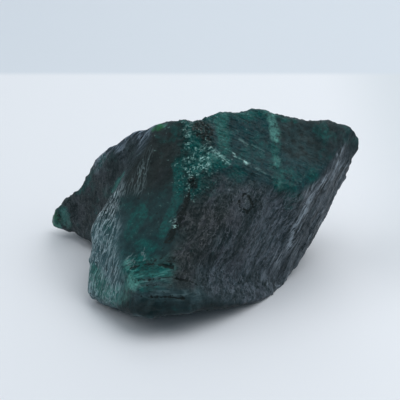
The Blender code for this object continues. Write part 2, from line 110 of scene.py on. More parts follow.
# ----------------------------------------
# The kinds of break on the stone's surface: points that each kind is found around, with the way
# the surface faces there
# ----------------------------------------
BREAKS = {
    "satin": [
        ((-12.0, -9.0, 29.0), (-0.36, -0.69, 0.63)),
        ((-19.0, -6.5, 25.5), (-0.46, -0.52, 0.72)),
        ((-18.3, -14.5, 20.9), (-0.40, -0.45, 0.80)),
        ((-12.0, -20.0, 21.5), (-0.26, -0.46, 0.85)),
    ],
    "upper_fibres": [
        ((-27.0, 2.5, 27.5), (-0.60, -0.50, 0.62)),
        ((-28.6, -1.5, 24.0), (-0.57, -0.49, 0.66)),
    ],
    "left_fibres": [
        ((-28.6, -7.5, 19.0), (-0.57, -0.49, 0.66)),
        ((-28.1, -13.3, 14.1), (-0.59, -0.56, 0.58)),
        ((-30.1, -16.3, 9.1), (-0.75, -0.40, 0.53)),
        ((-26.9, -20.6, 10.6), (-0.68, -0.47, 0.56)),
        ((-25.5, -25.7, 9.0), (-0.61, -0.57, 0.55)),
        ((-32.7, -10.0, 12.3), (-0.70, -0.58, 0.40)),
    ],
    "charcoal": [
        ((-27.0, 10.7, 30.0), (-0.70, -0.60, 0.35)),
        ((-27.5, 13.0, 31.5), (-0.70, -0.60, 0.30)),
        ((-21.0, 8.5, 37.5), (-0.60, -0.65, 0.40)),
        ((-33.0, 14.7, 18.0), (-0.75, -0.60, 0.15)),
        ((-36.0, 19.0, 20.0), (-0.75, -0.50, 0.30)),
    ],
    "wing": [
        ((-40.6, 20.2, 9.8), (-0.38, -0.92, -0.10)),
        ((-37.9, 19.2, 13.8), (-0.71, -0.70, -0.11)),
        ((-36.7, 17.4, 7.7), (-0.83, -0.54, 0.16)),
        ((-32.8, 13.7, 13.1), (-0.76, -0.62, 0.17)),
    ],
    "sliver": [
        ((-29.5, 16.3, 33.0), (-0.65, -0.40, 0.65)),
        ((-24.5, 13.7, 37.8), (-0.61, -0.50, 0.60)),
        ((-18.5, 10.6, 42.6), (-0.60, -0.35, 0.70)),
    ],
    "left_brow": [
        ((-22.0, 23.0, 28.0), (-0.40, 0.85, 0.00)),
        ((-26.0, 29.5, 11.0), (-0.30, 0.85, 0.40)),
        ((-10.7, 6.3, 45.8), (-0.30, -0.70, 0.64)),
        ((-13.0, 3.5, 41.0), (-0.36, -0.69, 0.63)),
        ((-12.5, -2.0, 35.5), (-0.36, -0.69, 0.63)),
        ((-18.5, 0.5, 33.0), (-0.45, -0.60, 0.66)),
    ],
    "hackly": [
        ((-2.0, 3.8, 46.5), (0.00, -0.55, 0.83)),
        ((-1.0, -1.0, 43.0), (-0.10, -0.60, 0.80)),
        ((-1.0, -4.5, 39.5), (-0.15, -0.60, 0.78)),
        ((-3.0, -7.5, 34.0), (0.00, -0.85, 0.50)),
    ],
    "top": [
        ((6.5, 4.0, 47.0), (0.10, -0.60, 0.78)),
        ((7.0, -2.0, 42.5), (0.05, -0.60, 0.80)),
        ((13.0, -2.5, 41.0), (0.05, -0.60, 0.80)),
        ((14.0, 3.5, 45.5), (0.10, -0.60, 0.78)),
        ((21.0, -3.0, 39.0), (0.20, -0.60, 0.78)),
        ((31.0, -2.0, 36.0), (0.20, -0.70, 0.68)),
    ],
    "dish": [
        ((29.5, 5.7, 40.5), (0.25, -0.75, 0.60)),
    ],
    "prow": [
        ((28.0, 25.0, 31.0), (0.30, 0.90, 0.20)),
        ((38.0, 8.7, 42.0), (0.20, -0.70, 0.68)),
        ((44.6, 13.5, 40.7), (0.83, -0.54, 0.15)),
    ],
    "granular": [
        ((4.0, -9.3, 30.0), (0.00, -0.92, 0.38)),
        ((14.0, -9.8, 28.5), (-0.05, -0.90, 0.42)),
        ((6.0, -17.5, 18.5), (0.30, -0.85, 0.40)),
        ((12.0, -14.5, 17.0), (0.30, -0.85, 0.40)),
    ],
    "umber": [
        ((4.0, 33.0, 13.0), (0.00, 0.95, 0.25)),
        ((-10.0, 32.0, 10.0), (0.10, 0.95, 0.25)),
        ((-2.8, -15.0, 26.0), (-0.10, -0.85, 0.52)),
        ((-1.5, -20.5, 20.5), (0.10, -0.85, 0.52)),
        ((2.0, -14.0, 26.5), (0.00, -0.90, 0.44)),
        ((-5.0, -25.0, 19.5), (0.10, -0.70, 0.70)),
        ((-4.5, -29.3, 16.0), (0.35, -0.75, 0.55)),
    ],
    "front_streaks": [
        ((35.5, 24.0, 17.0), (0.50, 0.85, 0.00)),
        ((24.0, 29.0, 21.0), (0.40, 0.90, 0.10)),
        ((18.0, -11.5, 14.0), (0.60, -0.75, 0.20)),
        ((22.5, -8.5, 21.0), (0.40, -0.90, 0.10)),
        ((4.0, -24.5, 10.5), (0.60, -0.60, 0.55)),
        ((11.5, -19.0, 7.5), (0.68, -0.40, 0.60)),
    ],
    "right_streaks": [
        ((30.8, -2.2, 19.8), (0.75, -0.65, -0.10)),
        ((38.3, 3.8, 30.0), (0.75, -0.65, -0.05)),
        ((42.0, 9.0, 34.5), (0.85, -0.50, -0.10)),
        ((26.6, -4.3, 6.7), (0.67, -0.74, 0.09)),
    ],
    "ledges": [
        ((-18.0, -27.0, 16.5), (-0.30, -0.60, 0.74)),
        ((-11.5, -29.5, 16.9), (-0.15, -0.80, 0.58)),
    ],
    "apron": [
        ((-17.1, -33.2, 13.5), (-0.40, -0.88, 0.27)),
        ((-14.3, -33.8, 13.2), (-0.36, -0.93, 0.00)),
        ((-12.7, -32.6, 15.2), (-0.20, -0.60, 0.75)),
        ((-11.5, -34.8, 14.4), (-0.15, -0.96, 0.24)),
        ((-8.2, -34.3, 14.1), (0.29, -0.93, 0.23)),
        ((-4.8, -33.2, 12.8), (0.48, -0.87, 0.10)),
        ((-1.5, -32.2, 11.3), (0.52, -0.80, 0.30)),
    ],
    "shaded_undercut": [
        ((-20.6, -32.3, 8.9), (-0.76, -0.52, 0.40)),
        ((-16.5, -34.9, 10.2), (-0.40, -0.79, 0.46)),
        ((-12.6, -35.8, 10.7), (-0.10, -0.80, 0.60)),
        ((-8.7, -35.3, 10.1), (0.24, -0.93, 0.27)),
        ((-4.3, -34.3, 9.5), (0.30, -0.82, 0.48)),
        ((0.2, -31.9, 8.0), (0.58, -0.81, 0.12)),
        ((4.0, -29.5, 6.0), (0.60, -0.75, 0.20)),
    ],
    "back": [
        ((-20.0, 27.7, 25.0), (-0.20, 0.85, 0.50)),
        ((0.0, 32.7, 22.0), (0.00, 0.95, 0.30)),
        ((22.0, 29.7, 22.0), (0.20, 0.95, 0.20)),
        ((38.0, 20.7, 25.0), (0.70, 0.70, 0.00)),
        ((0.0, 17.7, 43.0), (0.00, 0.70, 0.70)),
        ((25.0, 17.7, 42.0), (0.10, 0.80, 0.60)),
        ((-37.0, 29.7, 8.0), (-0.30, 0.90, 0.10)),
    ],
    "hidden_side": [
        ((-29.0, 0.7, 8.0), (-0.95, 0.10, 0.00)),
        ((-27.0, 8.7, 6.0), (-0.90, -0.30, 0.00)),
        ((25.0, 11.7, 6.0), (0.80, 0.20, -0.50)),
        ((-30.0, 23.7, 1.5), (0.00, 0.00, -1.00)),
        ((0.0, 5.7, 0.0), (0.00, 0.00, -1.00)),
        ((-10.0, -26.0, 4.5), (0.00, -0.40, -0.90)),
    ],
}
TURN_REACH = 16.0  # how many millimetres a right-angle turn of the surface counts for
BREAK_BLEND = 1.9  # how softly one kind of break runs into the next

# What each kind of break has.
# Relief, in millimetres: grain is fine bumps; side, band, top, level and bevel are ridges along those
# grains; hackle is sharp little chips.
# Finish, from 0 to 1: hairs is light and dark hairlines, with drifts of violet and gloom; gloss goes
# from dull to wet; teal is green rock in the mottle; specks is stray dots of painted glint; threads is
# how pale the crests of the ridges are, partly pale fibre and partly painted highlight.
# Colours, as linear light: rock; the lighter rock that mottles it; the pale colour of the crests,
# partly pale fibre and partly painted highlight
BREAK_LOOKS = {
    "satin": dict(
        grain=0.03, side=0.03, gloss=0.55, teal=0.3, specks=0.06, threads=0.15,
        rock=(0.004, 0.019, 0.022), light=(0.009, 0.036, 0.038), pale_crest_and_sheen=(0.040, 0.080, 0.085),
    ),
    "left_brow": dict(
        grain=0.04, hairs=0.3, gloss=0.50, teal=0.08, specks=0.15, threads=0.15,
        rock=(0.009, 0.014, 0.014), light=(0.018, 0.026, 0.026), pale_crest_and_sheen=(0.050, 0.080, 0.085),
    ),
    "left_fibres": dict(
        grain=0.05, band=0.22, gloss=0.50, teal=0.25, threads=1.0,
        rock=(0.030, 0.072, 0.082), light=(0.082, 0.142, 0.158), pale_crest_and_sheen=(0.360, 0.450, 0.480),
    ),
    "upper_fibres": dict(
        grain=0.05, band=0.25, gloss=0.50, teal=0.15, threads=1.0,
        rock=(0.007, 0.016, 0.019), light=(0.034, 0.058, 0.066), pale_crest_and_sheen=(0.550, 0.640, 0.670),
    ),
    "wing": dict(
        grain=0.10, side=0.12, hairs=0.6, gloss=0.45, teal=0.25, threads=0.7,
        rock=(0.007, 0.016, 0.017), light=(0.044, 0.057, 0.062), pale_crest_and_sheen=(0.150, 0.170, 0.180),
    ),
    "charcoal": dict(
        grain=0.14, side=0.09, hairs=0.6, gloss=0.45, teal=0.30, specks=0.06, threads=0.55,
        rock=(0.004, 0.012, 0.014), light=(0.028, 0.038, 0.041), pale_crest_and_sheen=(0.105, 0.125, 0.130),
    ),
    # painted reflection: the bevel gets pale bluish rock and bright bluish crests for the glassy sheen it
    # shows
    "sliver": dict(
        grain=0.03, bevel=0.22, gloss=1.00, teal=0.05, threads=1.0,
        rock=(0.014, 0.023, 0.032), light=(0.058, 0.078, 0.098), pale_crest_and_sheen=(0.220, 0.270, 0.320),
    ),
    "hackly": dict(
        grain=0.08, hackle=0.34, gloss=1.00, teal=0.7, specks=0.45,
        rock=(0.004, 0.018, 0.018), light=(0.012, 0.046, 0.044), pale_crest_and_sheen=(0.100, 0.160, 0.160),
    ),
    "top": dict(
        grain=0.08, top=0.09, hackle=0.1, gloss=0.60, teal=0.42, specks=0.1, threads=0.2,
        rock=(0.004, 0.022, 0.026), light=(0.013, 0.050, 0.058), pale_crest_and_sheen=(0.050, 0.120, 0.125),
    ),
    "dish": dict(
        grain=0.08, top=0.06, gloss=0.40, teal=0.05, threads=0.10,
        rock=(0.009, 0.016, 0.016), light=(0.030, 0.060, 0.064), pale_crest_and_sheen=(0.060, 0.090, 0.095),
    ),
    "prow": dict(
        grain=0.08, side=0.14, hairs=0.3, gloss=0.50, teal=0.35, threads=0.25,
        rock=(0.006, 0.016, 0.018), light=(0.016, 0.034, 0.037), pale_crest_and_sheen=(0.070, 0.100, 0.110),
    ),
    "granular": dict(
        grain=0.11, side=0.16, hackle=0.13, hairs=1.0, gloss=0.45, teal=0.15, threads=0.9,
        rock=(0.008, 0.019, 0.022), light=(0.038, 0.054, 0.060), pale_crest_and_sheen=(0.128, 0.148, 0.168),
    ),
    "umber": dict(
        grain=0.12, side=0.16, hackle=0.14, hairs=1.0, gloss=0.45, teal=0.10, threads=0.80,
        rock=(0.008, 0.013, 0.014), light=(0.032, 0.037, 0.038), pale_crest_and_sheen=(0.105, 0.112, 0.120),
    ),
    "front_streaks": dict(
        grain=0.09, side=0.2, hairs=0.8, gloss=0.45, teal=0.10, threads=0.9,
        rock=(0.012, 0.024, 0.028), light=(0.054, 0.077, 0.092), pale_crest_and_sheen=(0.185, 0.212, 0.245),
    ),
    "right_streaks": dict(
        grain=0.1, side=0.28, hairs=0.25, gloss=0.45, teal=0.05, threads=0.8,
        rock=(0.013, 0.022, 0.027), light=(0.076, 0.091, 0.104), pale_crest_and_sheen=(0.280, 0.320, 0.355),
    ),
    "ledges": dict(
        grain=0.05, level=0.16, gloss=0.60, teal=0.75, threads=0.6,
        rock=(0.003, 0.022, 0.020), light=(0.020, 0.110, 0.100), pale_crest_and_sheen=(0.100, 0.340, 0.300),
    ),
    "apron": dict(
        grain=0.03, level=0.13, gloss=0.55, teal=0.1, threads=0.75,
        rock=(0.018, 0.040, 0.044), light=(0.058, 0.095, 0.105), pale_crest_and_sheen=(0.150, 0.220, 0.230),
    ),
    # painted shade: the underside gets far darker rock than the faces above it, for the shade it lies in
    "shaded_undercut": dict(
        grain=0.03, level=0.05, gloss=0.45, teal=0.25, threads=0.20,
        rock=(0.002, 0.008, 0.009), light=(0.004, 0.012, 0.014), pale_crest_and_sheen=(0.022, 0.050, 0.052),
    ),
    "back": dict(
        grain=0.13, side=0.18, hackle=0.26, hairs=0.8, gloss=0.50, teal=0.40, threads=0.55,
        rock=(0.010, 0.024, 0.027), light=(0.034, 0.054, 0.060), pale_crest_and_sheen=(0.130, 0.170, 0.190),
    ),
    "hidden_side": dict(
        grain=0.12, side=0.15, hackle=0.16, hairs=0.8, gloss=0.45, teal=0.25, threads=0.55,
        rock=(0.010, 0.022, 0.025), light=(0.030, 0.046, 0.052), pale_crest_and_sheen=(0.120, 0.150, 0.170),
    ),
}
RELIEF_NAMES = ["grain", "side", "band", "top", "level", "bevel", "hackle"]
FINISH_NAMES = ["hairs", "gloss", "teal", "specks", "threads"]
COLOUR_NAMES = ["rock", "light", "pale_crest_and_sheen"]
TEAL_UNEVENNESS = 0.25  # how much the green comes and goes from place to place

# Patches and veins: what shows there, how much, its half-width, and the points that it runs along.
# Teal and grass are greens, and pale is a pale vein. The pale strands along the fibres are partly pale
# fibres and partly painted sheen, the pale streaks down the right-hand face are painted highlight,
# spark, dash and glint are painted glints, and dark darkens the stone
PATCHES = [
    # along the main ridge, on the smooth face left of it, and round the left end of the crest
    ("teal", 0.76, 2.2, [
        (-6.3, -2.3, 37.5), (-6.7, -9.5, 30.1), (-8.4, -12.5, 26.8), (-11.0, -17.5, 23.5),
    ]),
    ("teal", 0.66, 3.0, [(-17.8, -8.0, 25.5), (-19.3, -9.8, 23.1), (-20.3, -13.0, 20.8)]),
    ("teal", 0.60, 2.6, [(-17.5, -18.0, 19.9), (-14.0, -20.5, 20.5)]),
    ("teal", 0.62, 2.2, [(-12.0, 6.7, 45.2), (-10.7, 6.3, 45.8), (-8.3, 5.6, 46.2), (-6.2, 4.2, 45.8)]),
    ("teal", 0.45, 2.0, [(-12.1, 4.9, 43.6), (-9.2, 3.9, 43.7)]),
    # the two veins over the top, and the green crest
    ("teal", 0.90, 2.3, [
        (6.2, 8.6, 49.0), (5.8, 6.5, 47.7), (6.4, 3.4, 46.5), (7.0, 1.0, 44.4), (6.8, -2.7, 42.2),
    ]),
    ("pale", 0.12, 2.0, [(6.0, 7.5, 48.4), (6.4, 3.4, 46.5), (7.0, 1.0, 44.4)]),
    ("teal", 0.65, 1.6, [(2.6, 7.8, 48.1), (11.4, 8.0, 49.5), (17.8, 8.2, 49.8), (27.0, 10.2, 46.5)]),
    ("pale", 0.75, 1.4, [
        (20.9, 8.4, 49.4), (20.8, 7.6, 48.6), (21.0, 6.8, 46.9), (21.3, 5.8, 45.1), (21.6, 5.0, 43.5),
    ]),
    ("pale", 0.90, 0.9, [(21.2, 5.4, 44.2), (21.8, 4.7, 42.9)]),
    ("pale", 0.45, 0.9, [(22.0, -0.5, 39.3), (21.7, -2.7, 38.4)]),
    ("pale", 0.35, 0.8, [(22.4, -7.0, 34.8), (22.9, -8.5, 33.9)]),
    ("teal", 0.70, 2.2, [(21.8, 3.0, 41.8), (22.0, -0.5, 39.3), (21.7, -2.7, 38.4), (22.6, -7.0, 35.0)]),
    # the same veins down the back, and the green and dark patches beside them
    ("teal", 0.60, 2.6, [
        (5.6, 8.6, 49.0), (2.0, 15.0, 44.5), (6.5, 25.5, 36.0), (2.0, 27.5, 28.0), (-4.0, 28.5, 20.0),
        (-6.0, 32.5, 12.0),
    ]),
    ("teal", 0.50, 3.2, [(6.5, 25.5, 36.0), (10.5, 28.0, 27.0), (13.5, 33.0, 20.0)]),
    ("teal", 0.65, 2.0, [(19.4, 8.4, 49.6), (22.0, 15.5, 44.0), (17.5, 26.5, 36.0), (21.5, 27.0, 28.0)]),
    ("teal", 0.50, 2.8, [(21.5, 27.0, 28.0), (17.0, 30.5, 20.0), (20.0, 34.0, 12.0)]),
    ("pale", 0.30, 1.2, [(19.4, 8.4, 49.6), (22.0, 15.5, 44.0), (19.5, 22.0, 40.0)]),
    ("teal", 0.60, 3.8, [(-12.0, 26.0, 28.0), (-18.0, 27.0, 18.0)]),
    ("teal", 0.55, 4.5, [(33.0, 20.0, 38.0), (37.0, 23.0, 29.0)]),
    ("dark", 0.45, 3.2, [(28.0, 25.5, 30.0), (31.0, 25.5, 20.0)]),
    ("dark", 0.45, 2.6, [(-10.0, 28.0, 20.0), (-4.0, 29.5, 24.0)]),
    # the prow, and the green corner of the front face
    ("teal", 0.70, 3.0, [(37.5, 8.8, 42.4), (35.8, 9.9, 44.2)]),
    ("teal", 0.65, 2.8, [(22.6, -8.4, 34.5), (25.0, -8.2, 32.1), (27.5, -7.1, 29.0), (25.8, -7.4, 27.4)]),
    # the foot of the fibrous face, and the ledges
    ("teal", 0.75, 3.4, [(-31.5, -13.0, 8.5), (-28.5, -20.6, 7.0), (-25.5, -25.7, 8.0)]),
    ("pale", 0.32, 3.0, [
        (-31.5, -13.0, 8.5), (-28.5, -20.6, 7.0), (-25.5, -25.7, 8.0), (-22.5, -29.5, 10.5),
    ]),
    ("teal", 0.45, 1.6, [(-16.3, -32.7, 14.1), (-13.7, -33.3, 14.8), (-10.6, -34.0, 15.3)]),
    ("teal", 0.95, 2.4, [(-20.2, -28.0, 14.0), (-17.0, -28.0, 17.0), (-11.0, -29.1, 16.9)]),
    ("pale", 0.85, 1.7, [(-20.2, -28.2, 15.4), (-19.0, -30.6, 14.9)]),
    ("pale", 0.45, 0.9, [(-20.8, -24.4, 16.1), (-21.2, -21.8, 16.6)]),
    ("pale", 0.10, 1.0, [
        (-16.7, -28.3, 16.7), (-14.4, -28.8, 16.7), (-11.6, -29.2, 16.6), (-9.3, -29.9, 17.0),
    ]),
    ("dark", 0.36, 0.9, [
        (-15.1, -24.8, 18.6), (-12.8, -25.1, 19.1), (-10.5, -25.7, 19.5), (-8.5, -26.1, 19.7),
    ]),
    # the left wing: its tip, and its green rim and streak
    ("teal", 1.00, 2.8, [(-46.7, 23.2, 5.7), (-45.9, 22.5, 8.5), (-43.5, 21.5, 10.1)]),
    ("pale", 0.85, 1.2, [(-46.7, 23.2, 5.7), (-45.8, 22.9, 4.0)]),
    ("pale", 0.42, 1.6, [(-43.5, 21.5, 10.1), (-42.4, 21.5, 6.6)]),
    ("grass", 0.35, 1.6, [(-46.7, 23.2, 5.7), (-45.9, 22.5, 8.5)]),
    ("dark", 0.42, 1.0, [(-45.0, 22.3, 9.0), (-44.8, 22.2, 7.0)]),
    ("teal", 0.70, 1.4, [
        (-29.5, 15.0, 32.0), (-30.9, 15.9, 29.9), (-33.6, 17.6, 25.7), (-36.0, 19.0, 21.6),
        (-38.4, 20.1, 17.9),
    ]),
    ("teal", 0.85, 1.1, [(-23.1, 6.4, 30.8), (-24.8, 8.4, 27.5), (-26.0, 8.4, 24.7), (-26.7, 8.7, 23.6)]),
    ("pale", 0.34, 0.7, [(-23.1, 6.4, 30.8), (-24.8, 8.4, 27.5), (-26.0, 8.4, 24.7), (-26.7, 8.7, 23.6)]),
    # bright green where the bevel meets the crest
    ("grass", 0.80, 0.7, [(-12.8, 8.7, 45.7), (-11.6, 7.1, 46.1)]),
    ("grass", 0.65, 0.7, [(-14.2, 7.6, 44.8), (-12.1, 6.8, 45.6)]),
    ("pale", 0.75, 0.6, [(-10.4, 7.2, 46.7), (-11.0, 7.1, 46.3)]),
    # painted glints and green on the main ridge, and painted highlight dashes and glints over the top
    ("spark", 0.50, 1.0, [(-4.2, 4.0, 47.5), (-4.0, -0.5, 42.5), (-4.1, -2.5, 39.0)]),
    ("spark", 1.00, 2.2, [(0.2, -4.0, 40.3), (-1.5, -4.6, 38.4), (-3.3, -4.8, 36.8)]),
    ("spark", 0.45, 1.6, [(0.0, -1.5, 42.2), (-3.3, -2.2, 39.5)]),
    ("teal", 1.00, 2.4, [(-1.5, -4.6, 38.4), (0.2, -4.0, 40.3), (3.6, -5.0, 41.4), (6.5, -5.5, 40.5)]),
    ("pale", 0.25, 1.6, [(-1.5, -4.6, 38.4), (0.2, -4.0, 40.3), (3.6, -5.0, 41.4)]),
    ("spark", 0.50, 1.3, [(1.5, -0.6, 43.2), (4.5, -3.2, 41.6), (7.7, -5.1, 40.2)]),
    ("spark", 0.80, 0.9, [(-4.4, -6.6, 34.2), (-3.8, -8.6, 33.0)]),
    ("spark", 0.85, 0.9, [(-8.1, -15.5, 26.1), (-7.5, -16.8, 25.6)]),
    ("dash", 0.22, 0.9, [(12.9, -4.0, 39.4), (16.4, -5.6, 37.8)]),
    ("glint", 0.20, 0.25, [(11.0, 1.7, 44.4), (12.1, 1.5, 43.8), (13.3, 0.6, 43.0)]),
    ("glint", 0.10, 0.25, [(14.7, 1.0, 43.1), (16.5, 0.5, 42.0), (18.2, 0.1, 41.0)]),
    ("glint", 0.45, 0.30, [(8.9, -1.4, 42.3), (9.4, -2.6, 41.6), (10.0, -3.8, 40.9)]),
    ("glint", 0.35, 0.30, [(11.2, -3.4, 40.7), (12.0, -3.6, 40.2)]),
    ("glint", 0.90, 0.36, [(12.3, -3.8, 40.0), (13.1, -4.1, 39.2)]),
    ("glint", 0.40, 0.30, [(3.4, -2.2, 42.7), (4.5, -3.2, 42.2), (5.7, -4.3, 41.4), (7.1, -5.2, 40.6)]),
    ("glint", 0.10, 0.25, [(16.4, -5.0, 38.2), (17.8, -5.9, 37.4), (18.6, -6.4, 37.0)]),
    # pale strands, partly pale fibres and partly painted sheen, on the smooth face and above the ledges,
    # and painted highlight streaks down the right-hand face
    ("pale_strand_sheen", 0.30, 1.2, [
        (-15.4, 3.2, 39.8), (-16.5, 0.7, 35.8), (-17.7, -2.3, 31.1), (-18.8, -3.3, 29.3),
    ]),
    ("pale_strand_sheen", 0.48, 1.7, [(-17.1, 1.0, 35.7), (-19.8, -0.5, 31.8), (-23.6, -1.5, 27.7)]),
    ("pale_strand_sheen", 0.50, 0.6, [(-16.7, -19.2, 19.7), (-16.3, -22.3, 18.9), (-15.9, -25.2, 18.2)]),
    ("pale_strand_sheen", 0.45, 1.3, [(-20.1, -20.9, 17.4), (-19.3, -25.4, 16.7)]),
    ("streak_highlight", 0.50, 1.0, [(42.2, 8.8, 37.6), (41.3, 7.1, 35.0), (40.1, 5.7, 32.4), (38.9, 4.3, 30.4)]),
    ("streak_highlight", 0.85, 1.7, [(36.9, 2.0, 30.9), (35.0, 0.2, 29.2), (32.6, -1.0, 27.2), (30.8, -2.7, 26.1)]),
    ("streak_highlight", 0.80, 1.6, [(30.3, -2.8, 23.8), (29.1, -4.3, 20.9), (28.0, -4.3, 16.9), (26.4, -4.5, 12.2)]),
    # darker patches: the broken hollow under the crest, and the cleft right of the ridge
    ("dark", 0.72, 2.4, [(-0.4, 5.0, 46.8), (1.1, 2.2, 45.5)]),
    ("dark", 0.80, 1.3, [(-2.6, -6.9, 35.2), (-2.2, -8.2, 34.0)]),
    ("dark", 0.75, 1.0, [(-3.8, -10.3, 31.9), (-4.4, -12.3, 30.3), (-5.4, -14.6, 28.2)]),
    ("dark", 0.80, 1.1, [(-7.0, -17.0, 25.6), (-8.6, -18.6, 23.9), (-9.5, -20.4, 22.7)]),
    ("dark", 0.45, 1.4, [(-5.4, -14.6, 28.2), (-7.0, -17.0, 25.6)]),
]
BLENDED_PATCHES = ["teal", "dark"]  # these join the look of the break that they lie on
PLAIN_PATCHES = ["pale", "grass", "pale_strand_sheen", "streak_highlight", "spark", "dash", "glint"]
DARK_OVER_TEAL = 0.8  # how much a dark patch takes away from the green

# A patch is full up to so many half-widths from its line, and gone beyond so many
PATCH_FULL = 0.55
PATCH_END = 1.45
PATCH_RAGGED = 1.2  # how far a patch's edge wanders
RAGGED_HALF_WIDTH = 2.0  # narrower patches than this wander less
MIDDLE_WANDER = 0.6  # how much of the wandering is short waves

# Cracks and dark joints between layers, darkened as painted shade by their depth: depth, half-width,
# and the points that they run along
CRACKS = [
    (0.45, 0.50, [
        (-3.0, -8.5, 33.0), (-4.2, -11.5, 31.0), (-4.9, -13.4, 29.4), (-6.3, -15.9, 27.1),
        (-7.6, -17.4, 25.0), (-9.1, -19.6, 23.2),
    ]),
    (0.40, 0.34, [
        (-17.7, -30.3, 15.6), (-14.9, -30.5, 16.1), (-11.5, -31.2, 16.9), (-8.2, -31.0, 16.7),
        (-4.9, -30.1, 15.5), (-1.5, -28.6, 13.3),
    ]),
    (0.20, 0.32, [(-16.9, -31.8, 14.9), (-14.3, -32.4, 15.6), (-11.5, -33.2, 16.1)]),
    (0.26, 0.34, [
        (-16.9, -33.8, 12.4), (-14.0, -34.4, 12.5), (-10.9, -35.2, 13.0), (-8.3, -34.8, 12.7),
        (-4.6, -33.7, 11.6),
    ]),
    (0.25, 0.40, [
        (-20.2, -24.8, 16.4), (-17.3, -25.3, 17.6), (-14.5, -25.9, 18.3), (-11.1, -27.0, 18.6),
        (-8.2, -27.9, 18.4),
    ]),
    (0.30, 0.35, [(10.8, -12.4, 31.3), (12.5, -10.5, 32.9), (13.7, -11.1, 32.3), (15.1, -12.5, 29.7)]),
    (0.25, 0.35, [(15.1, -12.5, 29.7), (13.1, -14.2, 28.7), (11.3, -13.7, 30.1), (10.8, -12.4, 31.3)]),
]
CRACK_END = 1.6  # how many half-widths from its line a crack ends
CRACK_RAGGED = 0.35  # how far a crack's edge wanders
CRACK_SLACK = 1.5  # a crack's line may lie this far above or below the skin
CRACK_FALL_OFF = 3.0  # how fast the crack ends beyond that
CRACK_SHADE = 4.6  # how much painted shade a crack gets for each millimetre of its depth

# Colours of the material, as linear light
# the darkest stone, also the colour of the painted shade in the cracks
DARKEST_STONE_AND_SHADE = (0.0015, 0.0060, 0.0056, 1.0)
TEAL_STONE = (0.005, 0.042, 0.040, 1.0)
TEAL_STONE_LIGHT = (0.010, 0.092, 0.085, 1.0)
# pale strands along the grain: partly pale fibres, partly painted sheen
PALE_STRAND_AND_SHEEN = (0.230, 0.300, 0.310, 1.0)
# painted highlight: the pale streaks down the right-hand face
PAINTED_STREAK_HIGHLIGHT = (0.300, 0.345, 0.385, 1.0)
VIOLET_STONE = (0.062, 0.067, 0.080, 1.0)
GLOOMY_STONE = (0.007, 0.015, 0.016, 1.0)
PALE_VEIN = (0.14, 0.34, 0.30, 1.0)
GRASS_GREEN = (0.035, 0.18, 0.07, 1.0)
# a painted highlight: the colour of the painted glints, sparks, dashes and dots
PAINTED_GLINT_COLOUR = (0.52, 0.80, 0.75, 1.0)
RICHER = 1.12  # how much more saturated they all are in the end

# The noises of the material: the size of their lumps, the grain that they are drawn out along, how
# much of a length along it still counts, and how fine, rough and wavy they are
NOISES = {
    "mottle": dict(size=2.0, detail=5.0, roughness=0.65),
    "speck": dict(size=0.9, detail=2.0, roughness=0.6),
    "grit": dict(size=0.8, detail=1.0, roughness=0.5),
    "clusters": dict(size=6.0, detail=2.0, roughness=0.5),
    "side_threads": dict(size=1.1, grain="side", keep=0.13, detail=3.0, roughness=0.7, waviness=0.8),
    "light_hairs": dict(size=1.5, grain="side", keep=0.35, detail=3.0, roughness=0.6, waviness=1.0),
    "dark_hairs": dict(size=1.9, grain="side", keep=0.35, detail=3.0, roughness=0.6, waviness=1.4),
    "drifts": dict(size=4.5, grain="side", keep=0.45, detail=3.0, roughness=0.6, waviness=1.0),
    "band_threads": dict(size=1.1, grain="band", keep=0.16, detail=2.0, roughness=0.5, waviness=0.5),
    "band_gaps": dict(size=0.9, grain="band", keep=0.16, detail=2.0, roughness=0.5, waviness=0.8),
    "band_fuzz": dict(size=0.75, grain="band", keep=0.16, detail=3.0, roughness=0.65, waviness=0.8),
    "top_threads": dict(size=0.9, grain="top", keep=0.20, detail=2.0, roughness=0.6, waviness=0.6),
    "level_threads": dict(size=0.9, grain="level", keep=0.14, detail=2.0, roughness=0.6, waviness=0.5),
    "level_waves": dict(size=1.3, grain="level", keep=0.28, detail=2.0, roughness=0.6, waviness=0.9),
    "bevel_threads": dict(size=0.8, grain="bevel", keep=0.09, detail=3.0, roughness=0.6, waviness=0.6),
    "sheen": dict(size=1.1, detail=3.0, roughness=0.55),
    "pits": dict(size=0.8, detail=4.0, roughness=0.65),
}
NOISE_MIDDLE = 0.5

# Where each thing starts to show in its noise, and where it shows in full
SHOWS = {
    "lighter": (0.30, 0.70),
    "teal_rock": (0.25, 0.95),
    "side_crest": (0.48, 0.66),
    "side_cluster": (0.34, 0.60),
    "side_bed": (0.47, 0.36),
    "band_crest": (0.50, 0.66),
    "band_bed": (0.47, 0.36),
    "level_crest": (0.54, 0.68),
    "level_bed": (0.46, 0.36),
    "top_crest": (0.58, 0.70),
    "top_bed": (0.45, 0.35),
    "bevel_crest": (0.47, 0.60),
    "bevel_bed": (0.44, 0.36),
    "violet": (0.50, 0.66),
    "gloom": (0.51, 0.40),
    "streak_highlight": (0.44, 0.60),
    "pale": (0.30, 0.66),
    "grass": (0.36, 0.58),
    "shade": (0.40, 0.70),
    "spark_specks": (0.42, 0.54),
    "spark_mottle": (0.42, 0.56),
    "dash": (0.58, 0.64),
    "dash_mottle": (0.42, 0.56),
    "dot": (0.66, 0.72),
    "dot_mottle": (0.45, 0.58),
    "glint": (0.44, 0.58),
}
# How far from the middle of its noise each hairline reaches
HAIRLINE_WIDTHS = {
    "band_crest": 0.035, "band_bed": 0.050, "light_hair": 0.040, "dark_hair": 0.055,
    "pale_strand_sheen": 0.055, "spark": 0.080,
}

# How much each of these counts in the colour
TEAL_MOTTLE = 1.2
TEAL_CLUSTERS = 1.0
BED_DARKNESS = 0.70
VIOLET_AMOUNT = 0.45
GLOOM_AMOUNT = 0.62
SHADE_SPECKS = 3.0
SHADE_AMOUNT = 0.92

